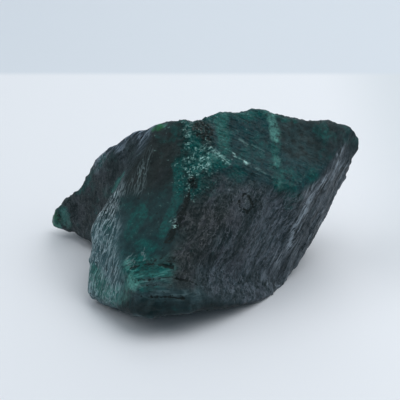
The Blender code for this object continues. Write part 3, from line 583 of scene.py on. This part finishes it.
DULL_ROUGHNESS = 0.60
GLOSS_EFFECT = 0.36  # how much less rough full gloss is
SHEEN_UNEVENNESS = 0.35
# roughness taken off where the painted glints are
PAINTED_GLINT_GLOSS = 0.15
STONE_IOR = 1.55
STONE_SPECULAR = 0.14

# The relief that is finer than the skin. The depths are shares of its height
FINEST_RELIEF = 0.40
FINEST_CHIPS = 0.8
PIT_DEPTH = 0.35
BED_DEPTH = 0.25

# ----------------------------------------
# Camera, light and floor
# ----------------------------------------
CAMERA_TARGET = Vector((-0.38, 7.70, 21.4))
CAMERA_ELEVATION = 27.0
CAMERA_DISTANCE = 420.0
CAMERA_LENS = 125.0
CAMERA_RANGE = (0.01, 20.0)  # in metres
# Softboxes: name, azimuth, elevation, size in metres, power in watts
SOFTBOXES = [
    ("overhead_right", 85.0, 66.0, 1.0, 6.3),
    ("back", 165.0, 38.0, 0.7, 2.7),
    ("left", 280.0, 35.0, 0.7, 2.2),
    ("overhead_left", 250.0, 62.0, 0.7, 1.3),
    ("right", 70.0, 30.0, 0.6, 1.0),
]
ROOM_COLOUR = (0.64, 0.96, 1.16, 1.0)
ROOM_STRENGTH = 0.21
FLOOR_HALF_SIZE = 4000.0
FLOOR_FAR_FADE = (160.5, 166.5)  # the floor turns to its far colour between these, along Y
FLOOR_BACK_FADE = (-40.0, 30.0)  # the floor darkens with painted shade towards the back, between these along Y
FLOOR_RIGHT_FADE = (45.0, 85.0)  # and towards the right, between these along X
FLOOR_NEAR_COLOUR = (0.80, 0.80, 0.83, 1.0)
FLOOR_RIGHT_SHADE_COLOUR = (0.67, 0.69, 0.72, 1.0)
FLOOR_FAR_COLOUR = (0.66, 0.69, 0.74, 1.0)
FLOOR_ROUGHNESS = 0.6


# ----------------------------------------
# The skin
# ----------------------------------------
def with_modifier(mesh, kind, **settings):
    """The mesh that one modifier makes of this mesh."""
    holder = bpy.data.objects.new("holder", mesh)
    bpy.context.scene.collection.objects.link(holder)
    modifier = holder.modifiers.new("step", kind)
    for name, value in settings.items():
        setattr(modifier, name, value)
    depsgraph = bpy.context.evaluated_depsgraph_get()
    result = bpy.data.meshes.new_from_object(holder.evaluated_get(depsgraph))
    bpy.data.objects.remove(holder)
    return result


def even_skin(node):
    """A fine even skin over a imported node, in millimetres."""
    solid = bmesh.new()
    solid.from_mesh(node.data)
    bmesh.ops.remove_doubles(solid, verts=solid.verts[:], dist=WELD)
    for vert in solid.verts:
        vert.co /= MM
    closed = bpy.data.meshes.new("closed")
    solid.to_mesh(closed)
    return with_modifier(closed, "REMESH", mode="VOXEL", voxel_size=SKIN_CELL)


def smooth(skin, verts, passes):
    for _ in range(passes):
        bmesh.ops.smooth_vert(
            skin, verts=verts, factor=HALF_WAY, use_axis_x=True, use_axis_y=True, use_axis_z=True
        )


def worn_skin(node):
    """The even skin, with its facets ironed out and its worn edges rounded."""
    mesh = even_skin(node)
    skin = bmesh.new()
    skin.from_mesh(mesh)
    smooth(skin, skin.verts[:], FACET_WEAR_PASSES)
    from_edge = from_line(np.array([tuple(vert.co) for vert in skin.verts]), ROUND_EDGE)
    edge_verts = [vert for vert, far in zip(skin.verts, from_edge) if far < ROUND_EDGE_REACH]
    smooth(skin, edge_verts, ROUND_EDGE_PASSES)
    skin.normal_update()
    skin.to_mesh(mesh)
    return mesh


def vectors_of(mesh, name):
    """The place ("co") or the normal ("normal") of each vertex."""
    values = np.empty(len(mesh.vertices) * 3, np.float32)
    mesh.vertices.foreach_get(name, values)
    return values.reshape(-1, 3).astype(float)


def smoothstep(low, high, x):
    t = np.clip((x - low) / (high - low), 0.0, 1.0)
    return t * t * (3.0 - 2.0 * t)


def off_segment(places, start, end):
    """The way to each place from the nearest point of the segment between two points."""
    start, end = np.array(start), np.array(end)
    run = end - start
    t = np.clip((places - start) @ run / (run @ run), 0.0, 1.0)
    return places - (start + t[:, None] * run)


def from_line(places, line):
    """The distance of each place from the line through these points."""
    distances = []
    for start, end in zip(line, line[1:]):
        distances.append(np.linalg.norm(off_segment(places, start, end), axis=1))
    return np.min(distances, axis=0)


def beside_line(places, normals, line):
    """The distance of each place from the line through these points, measured along the surface."""
    distances = []
    for start, end in zip(line, line[1:]):
        off = off_segment(places, start, end)
        above = np.sum(off * normals, axis=1)
        beside = np.linalg.norm(off - above[:, None] * normals, axis=1)
        too_high = np.maximum(0.0, np.abs(above) - CRACK_SLACK)
        distances.append(beside + CRACK_FALL_OFF * too_high)
    return np.min(distances, axis=0)


def break_shares(places, normals):
    """How much of each kind of break each place has. The shares of a place add up to 1."""
    nearest = []
    for seeds in BREAKS.values():
        best = np.full(len(places), np.inf)
        for place, facing in seeds:
            facing = np.array(facing) / np.linalg.norm(facing)
            far = np.linalg.norm(places - np.array(place), axis=1)
            best = np.minimum(best, far + TURN_REACH * (1.0 - normals @ facing))
        nearest.append(best)
    nearest = np.array(nearest)
    shares = np.exp(-(nearest - nearest.min(axis=0)) / BREAK_BLEND)
    return shares / shares.sum(axis=0)


def look_maps(shares):
    """The share-weighted value of every look and colour at each place."""
    looks = [BREAK_LOOKS[kind] for kind in BREAKS]
    maps = {}
    for name in RELIEF_NAMES + FINISH_NAMES:
        maps[name] = sum(look.get(name, 0.0) * share for look, share in zip(looks, shares))
    for name in COLOUR_NAMES:
        maps[name] = sum(np.outer(share, look[name]) for look, share in zip(looks, shares))
    return maps


def noise_map(places, size, start=0.0, grain=None, keep=1.0):
    """Smooth noise at each place, with lumps of this size, drawn out along the grain."""
    if grain is not None:
        along = np.array(grain)
        places = places - np.outer(places @ along, along) * (1.0 - keep)
    scaled = places / size + start
    return np.array([noise.noise(Vector(p)) for p in scaled])


def chip_map(places, size, start=0.0):
    """Small flat chips, each tilted its own way."""
    chips = []
    for p in places / size + start:
        place = Vector(p)
        centre = noise.voronoi(place)[1][0]
        tilt = noise.cell_vector(centre + CHIP_TILTS) * 2.0 - Vector((1.0, 1.0, 1.0))
        chips.append(tilt.dot(place - centre) * CHIP_STEEPNESS)
    return np.array(chips)


def ridged(values):
    """Turns smooth noise into sharp ridges, about 1 on a ridge and below 0 between them."""
    return 1.0 - RIDGE_STEEPNESS * np.abs(values)


def patch_maps(places, wander):
    """How much of each kind of patch and vein shows at each place."""
    maps = {kind: np.zeros(len(places)) for kind in BLENDED_PATCHES + PLAIN_PATCHES}
    for kind, amount, half_width, line in PATCHES:
        ragged = PATCH_RAGGED * wander * min(1.0, half_width / RAGGED_HALF_WIDTH)
        reach = from_line(places, line) + ragged
        strength = amount * (1.0 - smoothstep(PATCH_FULL * half_width, PATCH_END * half_width, reach))
        maps[kind] = np.maximum(maps[kind], strength)
    return maps


def crack_map(places, normals, wander):
    """How deep the cracks are at each place."""
    depth = np.zeros(len(places))
    for deepest, half_width, line in CRACKS:
        reach = np.maximum(0.0, beside_line(places, normals, line) + CRACK_RAGGED * wander)
        depth = np.maximum(depth, deepest * (1.0 - smoothstep(0.0, CRACK_END * half_width, reach)))
    return depth


def relief_map(places, looks, coarse, middle):
    """How far the bumps, the ridges along the grains and the chips stand out at each place."""
    bumps = MIDDLE_BUMPS * middle + FINE_BUMPS * noise_map(places, **FINE_NOISE)
    lift = looks["grain"] * bumps
    wavy = places + GRAIN_WAVE * np.column_stack([coarse, middle, noise_map(places, **SWAY_NOISE)])
    for name, grain in GRAINS.items():
        wide = ridged(noise_map(wavy, grain=grain, **WIDE_RIDGES))
        thin = ridged(noise_map(wavy, grain=grain, **THIN_RIDGES))
        lift += looks[name] * (WIDE_RIDGE_SHARE * wide + THIN_RIDGE_SHARE * thin)
    chips = chip_map(places, **BIG_CHIPS) + SMALL_CHIP_SHARE * chip_map(places, **SMALL_CHIPS)
    return lift + looks["hackle"] * chips


def set_map(mesh, name, values):
    layer = mesh.attributes.new(name, "FLOAT", "POINT")
    layer.data.foreach_set("value", np.asarray(values, np.float32))


def set_colour_map(mesh, name, colours):
    layer = mesh.attributes.new(name, "FLOAT_COLOR", "POINT")
    with_alpha = np.column_stack([colours, np.ones(len(colours))])
    layer.data.foreach_set("color", with_alpha.astype(np.float32).ravel())


def set_maps(mesh, looks, patches, cracks, coarse):
    """Tells the material what each place of the skin is like."""
    teal = np.maximum(looks["teal"], patches["teal"]) + TEAL_UNEVENNESS * coarse
    teal -= DARK_OVER_TEAL * patches["dark"]
    set_map(mesh, "teal", np.clip(teal, 0.0, 1.0))
    # painted shade: the cracks darken by their depth, on top of the dark patches
    set_map(mesh, "shade", np.clip(patches["dark"] + CRACK_SHADE * cracks, 0.0, 1.0))
    for name in PLAIN_PATCHES:
        set_map(mesh, name, patches[name])
    for name in ("hairs", "gloss", "specks", "threads"):
        set_map(mesh, name, looks[name])
    for name, full in FULL_FIBRES.items():
        set_map(mesh, name + "_fibre", np.clip(looks[name] / full, 0.0, 1.0))
    set_map(mesh, "hackle", np.clip(looks["hackle"] / FULL_HACKLE, 0.0, 1.0))
    for name in COLOUR_NAMES:
        set_colour_map(mesh, name, looks[name])


def build_stone(node):
    mesh = worn_skin(node)
    places = vectors_of(mesh, "co")
    normals = vectors_of(mesh, "normal")
    for place, radius, push in TRIMS:
        near = 1.0 - smoothstep(0.0, radius, np.linalg.norm(places - np.array(place), axis=1))
        places += np.outer(near, push)

    looks = look_maps(break_shares(places, normals))
    coarse = noise_map(places, **COARSE_NOISE)
    middle = noise_map(places, **MIDDLE_NOISE)
    patches = patch_maps(places, coarse + MIDDLE_WANDER * middle)
    cracks = crack_map(places, normals, middle)
    lift = relief_map(places, looks, coarse, middle) - cracks
    lift *= smoothstep(0.0, FOOT_FADE, places[:, 2])
    places += normals * lift[:, None]
    places[:, 2] = np.maximum(places[:, 2], 0.0)
    mesh.vertices.foreach_set("co", (places * MM).astype(np.float32).ravel())
    mesh.update()
    mesh.polygons.foreach_set("use_smooth", np.ones(len(mesh.polygons), bool))
    set_maps(mesh, looks, patches, cracks, coarse)

    stone = bpy.data.objects.new("emerald_stone", mesh)
    bpy.context.scene.collection.objects.link(stone)
    return stone


# ----------------------------------------
# The stone's material
# ----------------------------------------
class Nodes:
    """Small helpers that keep the node graph readable."""

    def __init__(self, tree):
        self.tree = tree

    def node(self, kind, **settings):
        made = self.tree.nodes.new(kind)
        for name, value in settings.items():
            setattr(made, name, value)
        return made

    def feed(self, socket, value):
        if isinstance(value, bpy.types.NodeSocket):
            self.tree.links.new(value, socket)
        else:
            socket.default_value = value

    def math(self, operation, first, *others):
        """The values taken together one by one, from the first to the last."""
        result = first
        for other in others:
            made = self.node("ShaderNodeMath", operation=operation)
            self.feed(made.inputs[0], result)
            self.feed(made.inputs[1], other)
            result = made.outputs[0]
        return result

    def times(self, *values):
        return self.math("MULTIPLY", *values)

    def plus(self, *values):
        return self.math("ADD", *values)

    def minus(self, value, less):
        return self.math("SUBTRACT", value, less)

    def largest(self, *values):
        return self.math("MAXIMUM", *values)

    def swing(self, value, width):
        """How far a noise is from its middle, on a scale of this width."""
        return self.times(self.minus(value, NOISE_MIDDLE), width)

    def map(self, name):
        return self.node("ShaderNodeAttribute", attribute_name=name).outputs["Fac"]

    def colour_map(self, name):
        return self.node("ShaderNodeAttribute", attribute_name=name).outputs["Color"]

    def mix(self, factor, a, b):
        made = self.node("ShaderNodeMix", data_type="RGBA")
        self.feed(made.inputs["Factor"], factor)
        self.feed(made.inputs["A"], a)
        self.feed(made.inputs["B"], b)
        return made.outputs["Result"]

    def ramp(self, value, none, full):
        """Runs smoothly from 0 where the value is "none" to 1 where it is "full"."""
        made = self.node("ShaderNodeMapRange", interpolation_type="SMOOTHSTEP")
        self.feed(made.inputs["Value"], value)
        made.inputs["From Min"].default_value = none
        made.inputs["From Max"].default_value = full
        return made.outputs["Result"]

    def shows(self, value, name):
        """How much the named thing shows, by its noise."""
        return self.ramp(value, *SHOWS[name])

    def hairlines(self, value, name):
        """Thin wavering lines, where smooth noise crosses its middle value."""
        off_middle = self.math("ABSOLUTE", self.minus(value, NOISE_MIDDLE), 0.0)
        return self.ramp(off_middle, HAIRLINE_WIDTHS[name], 0.0)

    def noise(self, place, size, detail, roughness, waviness=0.0, grain=None, keep=1.0):
        if grain is not None:
            place = self.drawn_out(place, GRAINS[grain], keep)
        made = self.node("ShaderNodeTexNoise")
        self.feed(made.inputs["Vector"], place)
        made.inputs["Scale"].default_value = 1.0 / (size * MM)
        made.inputs["Detail"].default_value = detail
        made.inputs["Roughness"].default_value = roughness
        made.inputs["Distortion"].default_value = waviness
        return made.outputs["Fac"]

    def drawn_out(self, place, grain, keep):
        """The place, squeezed along the grain so that noise comes out as fibres."""
        turn = grain.to_track_quat("Z", "Y").to_matrix().inverted().to_euler()
        made = self.node("ShaderNodeMapping", vector_type="POINT")
        self.feed(made.inputs["Vector"], place)
        made.inputs["Rotation"].default_value = turn
        squeezed = self.node("ShaderNodeVectorMath", operation="MULTIPLY")
        self.feed(squeezed.inputs[0], made.outputs[0])
        squeezed.inputs[1].default_value = (1.0, 1.0, keep)
        return squeezed.outputs[0]


def fibre_crests(n, noises):
    """Where the crests of the fibres and hairs are, and where the beds between them are."""
    side, band, fuzz = noises["side_threads"], noises["band_threads"], noises["band_fuzz"]
    crests = {
        "side": n.times(n.shows(side, "side_crest"), n.shows(noises["clusters"], "side_cluster")),
        "band": n.largest(n.shows(fuzz, "band_crest"), n.hairlines(band, "band_crest")),
    }
    beds = {
        "side": n.shows(side, "side_bed"),
        "band": n.largest(n.shows(fuzz, "band_bed"), n.hairlines(noises["band_gaps"], "band_bed")),
    }
    for name in ("level", "top", "bevel"):
        crests[name] = n.shows(noises[name + "_threads"], name + "_crest")
        beds[name] = n.shows(noises[name + "_threads"], name + "_bed")
    crest = n.times(n.hairlines(noises["light_hairs"], "light_hair"), n.map("hairs"))
    bed = n.times(n.hairlines(noises["dark_hairs"], "dark_hair"), n.map("hairs"))
    for name in GRAINS:
        crest = n.largest(crest, n.times(crests[name], n.map(name + "_fibre")))
        bed = n.largest(bed, n.times(beds[name], n.map(name + "_fibre")))
    return crest, bed


def rock_colour(n, noises, crest, bed):
    """Mottled rock with green rock in it, its fibres, and the layers on them, painted sheen and shade among
    them.
    """
    mottle, speck, drifts = noises["mottle"], noises["speck"], noises["drifts"]
    rock = n.mix(n.shows(mottle, "lighter"), n.colour_map("rock"), n.colour_map("light"))
    wobble = n.plus(n.swing(mottle, TEAL_MOTTLE), n.swing(noises["clusters"], TEAL_CLUSTERS))
    teal_here = n.shows(n.plus(n.map("teal"), wobble), "teal_rock")
    green = n.mix(n.shows(speck, "lighter"), TEAL_STONE, TEAL_STONE_LIGHT)
    colour = n.mix(teal_here, rock, green)
    colour = n.mix(n.times(bed, BED_DARKNESS), colour, DARKEST_STONE_AND_SHADE)
    # the pale crests of the fibres: partly pale fibre, partly painted highlight
    colour = n.mix(n.times(crest, n.map("threads")), colour, n.colour_map("pale_crest_and_sheen"))

    broken = n.plus(n.times(mottle, 0.5), n.times(speck, 0.5))
    ragged_shade = n.plus(n.map("shade"), n.swing(speck, SHADE_SPECKS))
    for amount, layer in (
        (n.times(n.hairlines(noises["band_threads"], "pale_strand_sheen"), n.map("pale_strand_sheen")), PALE_STRAND_AND_SHEEN),
        (n.times(n.shows(drifts, "violet"), n.map("hairs"), VIOLET_AMOUNT), VIOLET_STONE),
        (n.times(n.shows(drifts, "gloom"), n.map("hairs"), GLOOM_AMOUNT), GLOOMY_STONE),
        (n.times(n.shows(noises["side_threads"], "streak_highlight"), n.map("streak_highlight")), PAINTED_STREAK_HIGHLIGHT),
        (n.times(n.shows(broken, "pale"), n.map("pale")), PALE_VEIN),
        (n.times(n.shows(broken, "grass"), n.map("grass")), GRASS_GREEN),
        (n.times(n.shows(ragged_shade, "shade"), SHADE_AMOUNT), DARKEST_STONE_AND_SHADE),
    ):
        colour = n.mix(amount, colour, layer)
    return colour


def painted_glints(n, noises):
    """Where the painted glints go: wavy level lines, dashes and glints along the top, and dots."""
    mottle, top = noises["mottle"], noises["top_threads"]
    wave_breaks = n.times(n.shows(noises["speck"], "spark_specks"), n.shows(mottle, "spark_mottle"))
    spark = n.times(n.hairlines(noises["level_waves"], "spark"), wave_breaks, n.map("spark"))
    dash = n.times(n.shows(top, "dash"), n.shows(mottle, "dash_mottle"), n.map("dash"))
    dot = n.times(n.shows(noises["grit"], "dot"), n.shows(mottle, "dot_mottle"), n.map("specks"))
    glint = n.times(n.shows(top, "glint"), n.map("glint"))
    return n.largest(spark, dash, dot, glint)


def finest_relief(n, place, noises, bed):
    """The relief that is finer than the skin: pits, beds, threads and the edges of chips."""
    height = n.minus(n.times(noises["pits"], PIT_DEPTH), n.times(bed, BED_DEPTH))
    for name in ("side", "band", "top", "level"):
        height = n.plus(height, n.times(noises[name + "_threads"], n.map(name + "_fibre")))
    chips = n.node("ShaderNodeTexVoronoi", feature="F1")
    n.feed(chips.inputs["Vector"], place)
    chips.inputs["Scale"].default_value = 1.0 / (FINEST_CHIPS * MM)
    height = n.plus(height, n.times(chips.outputs["Distance"], n.map("hackle")))
    bump = n.node("ShaderNodeBump")
    bump.inputs["Strength"].default_value = 1.0
    bump.inputs["Distance"].default_value = FINEST_RELIEF * MM
    n.feed(bump.inputs["Height"], height)
    return bump.outputs["Normal"]


def stone_material():
    material = bpy.data.materials.new("emerald_rock_finish")
    material.use_nodes = True
    shader = material.node_tree.nodes["Principled BSDF"]
    n = Nodes(material.node_tree)
    place = n.node("ShaderNodeTexCoord").outputs["Object"]
    noises = {name: n.noise(place, **settings) for name, settings in NOISES.items()}

    crest, bed = fibre_crests(n, noises)
    # painted highlights: bright glints painted into the colour
    painted_glint_mask = painted_glints(n, noises)
    colour = n.mix(painted_glint_mask, rock_colour(n, noises, crest, bed), PAINTED_GLINT_COLOUR)
    richer = n.node("ShaderNodeHueSaturation")
    n.feed(richer.inputs["Color"], colour)
    richer.inputs["Saturation"].default_value = RICHER
    n.feed(shader.inputs["Base Color"], richer.outputs["Color"])

    rough = n.minus(DULL_ROUGHNESS, n.times(n.map("gloss"), GLOSS_EFFECT))
    rough = n.plus(rough, n.swing(noises["sheen"], SHEEN_UNEVENNESS))
    n.feed(shader.inputs["Roughness"], n.minus(rough, n.times(painted_glint_mask, PAINTED_GLINT_GLOSS)))
    shader.inputs["IOR"].default_value = STONE_IOR
    shader.inputs["Specular IOR Level"].default_value = STONE_SPECULAR
    shader.inputs["Metallic"].default_value = 0.0
    n.feed(shader.inputs["Normal"], finest_relief(n, place, noises, bed))
    return material


# ----------------------------------------
# Floor, light and camera
# ----------------------------------------
def build_floor():
    half = FLOOR_HALF_SIZE * MM
    mesh = bpy.data.meshes.new("floor")
    corners = [(-half, -half, 0.0), (half, -half, 0.0), (half, half, 0.0), (-half, half, 0.0)]
    mesh.from_pydata(corners, [], [(0, 1, 2, 3)])
    floor = bpy.data.objects.new("floor", mesh)
    bpy.context.scene.collection.objects.link(floor)

    material = bpy.data.materials.new("pale_floor")
    material.use_nodes = True
    shader = material.node_tree.nodes["Principled BSDF"]
    n = Nodes(material.node_tree)
    apart = n.node("ShaderNodeSeparateXYZ")
    n.feed(apart.inputs[0], n.node("ShaderNodeTexCoord").outputs["Object"])
    far = n.ramp(apart.outputs["Y"], FLOOR_FAR_FADE[0] * MM, FLOOR_FAR_FADE[1] * MM)
    right = n.ramp(apart.outputs["X"], FLOOR_RIGHT_FADE[0] * MM, FLOOR_RIGHT_FADE[1] * MM)
    back = n.ramp(apart.outputs["Y"], FLOOR_BACK_FADE[0] * MM, FLOOR_BACK_FADE[1] * MM)
    # painted shade: the floor is darker behind the stone and to its right
    near = n.mix(n.times(right, back), FLOOR_NEAR_COLOUR, FLOOR_RIGHT_SHADE_COLOUR)
    n.feed(shader.inputs["Base Color"], n.mix(far, near, FLOOR_FAR_COLOUR))
    shader.inputs["Roughness"].default_value = FLOOR_ROUGHNESS
    mesh.materials.append(material)


def add_softbox(name, azimuth, elevation, size, power):
    """A square light, one metre from the stone. Azimuth 0 is the camera's side, 90 the right."""
    turn, rise = math.radians(azimuth), math.radians(elevation)
    away = Vector((math.sin(turn) * math.cos(rise), -math.cos(turn) * math.cos(rise), math.sin(rise)))
    data = bpy.data.lights.new(name, "AREA")
    data.shape = "SQUARE"
    data.size = size
    data.energy = power
    light = bpy.data.objects.new(name, data)
    light.location = CAMERA_TARGET * MM + away
    light.rotation_euler = (-away).to_track_quat("-Z", "Y").to_euler()
    bpy.context.scene.collection.objects.link(light)


def build_light():
    world = bpy.data.worlds.new("soft_room")
    bpy.context.scene.world = world
    world.use_nodes = True
    background = world.node_tree.nodes["Background"]
    background.inputs["Color"].default_value = ROOM_COLOUR
    background.inputs["Strength"].default_value = ROOM_STRENGTH
    for name, azimuth, elevation, size, power in SOFTBOXES:
        add_softbox(name, azimuth, elevation, size, power)


def build_camera():
    data = bpy.data.cameras.new("camera")
    data.lens = CAMERA_LENS
    data.clip_start, data.clip_end = CAMERA_RANGE
    camera = bpy.data.objects.new("camera", data)
    tilt = math.radians(CAMERA_ELEVATION)
    away = Vector((0.0, -math.cos(tilt), math.sin(tilt))) * CAMERA_DISTANCE
    camera.location = (CAMERA_TARGET + away) * MM
    camera.rotation_euler = (math.radians(90.0) - tilt, 0.0, 0.0)
    bpy.context.scene.collection.objects.link(camera)
    bpy.context.scene.camera = camera


stone = build_stone(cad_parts["rough_emerald"])
stone.data.materials.clear()
stone.data.materials.append(stone_material())
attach(stone, "root")
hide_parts("rough_emerald")
build_floor()
build_light()
build_camera()
bpy.context.scene.view_settings.view_transform = "Standard"
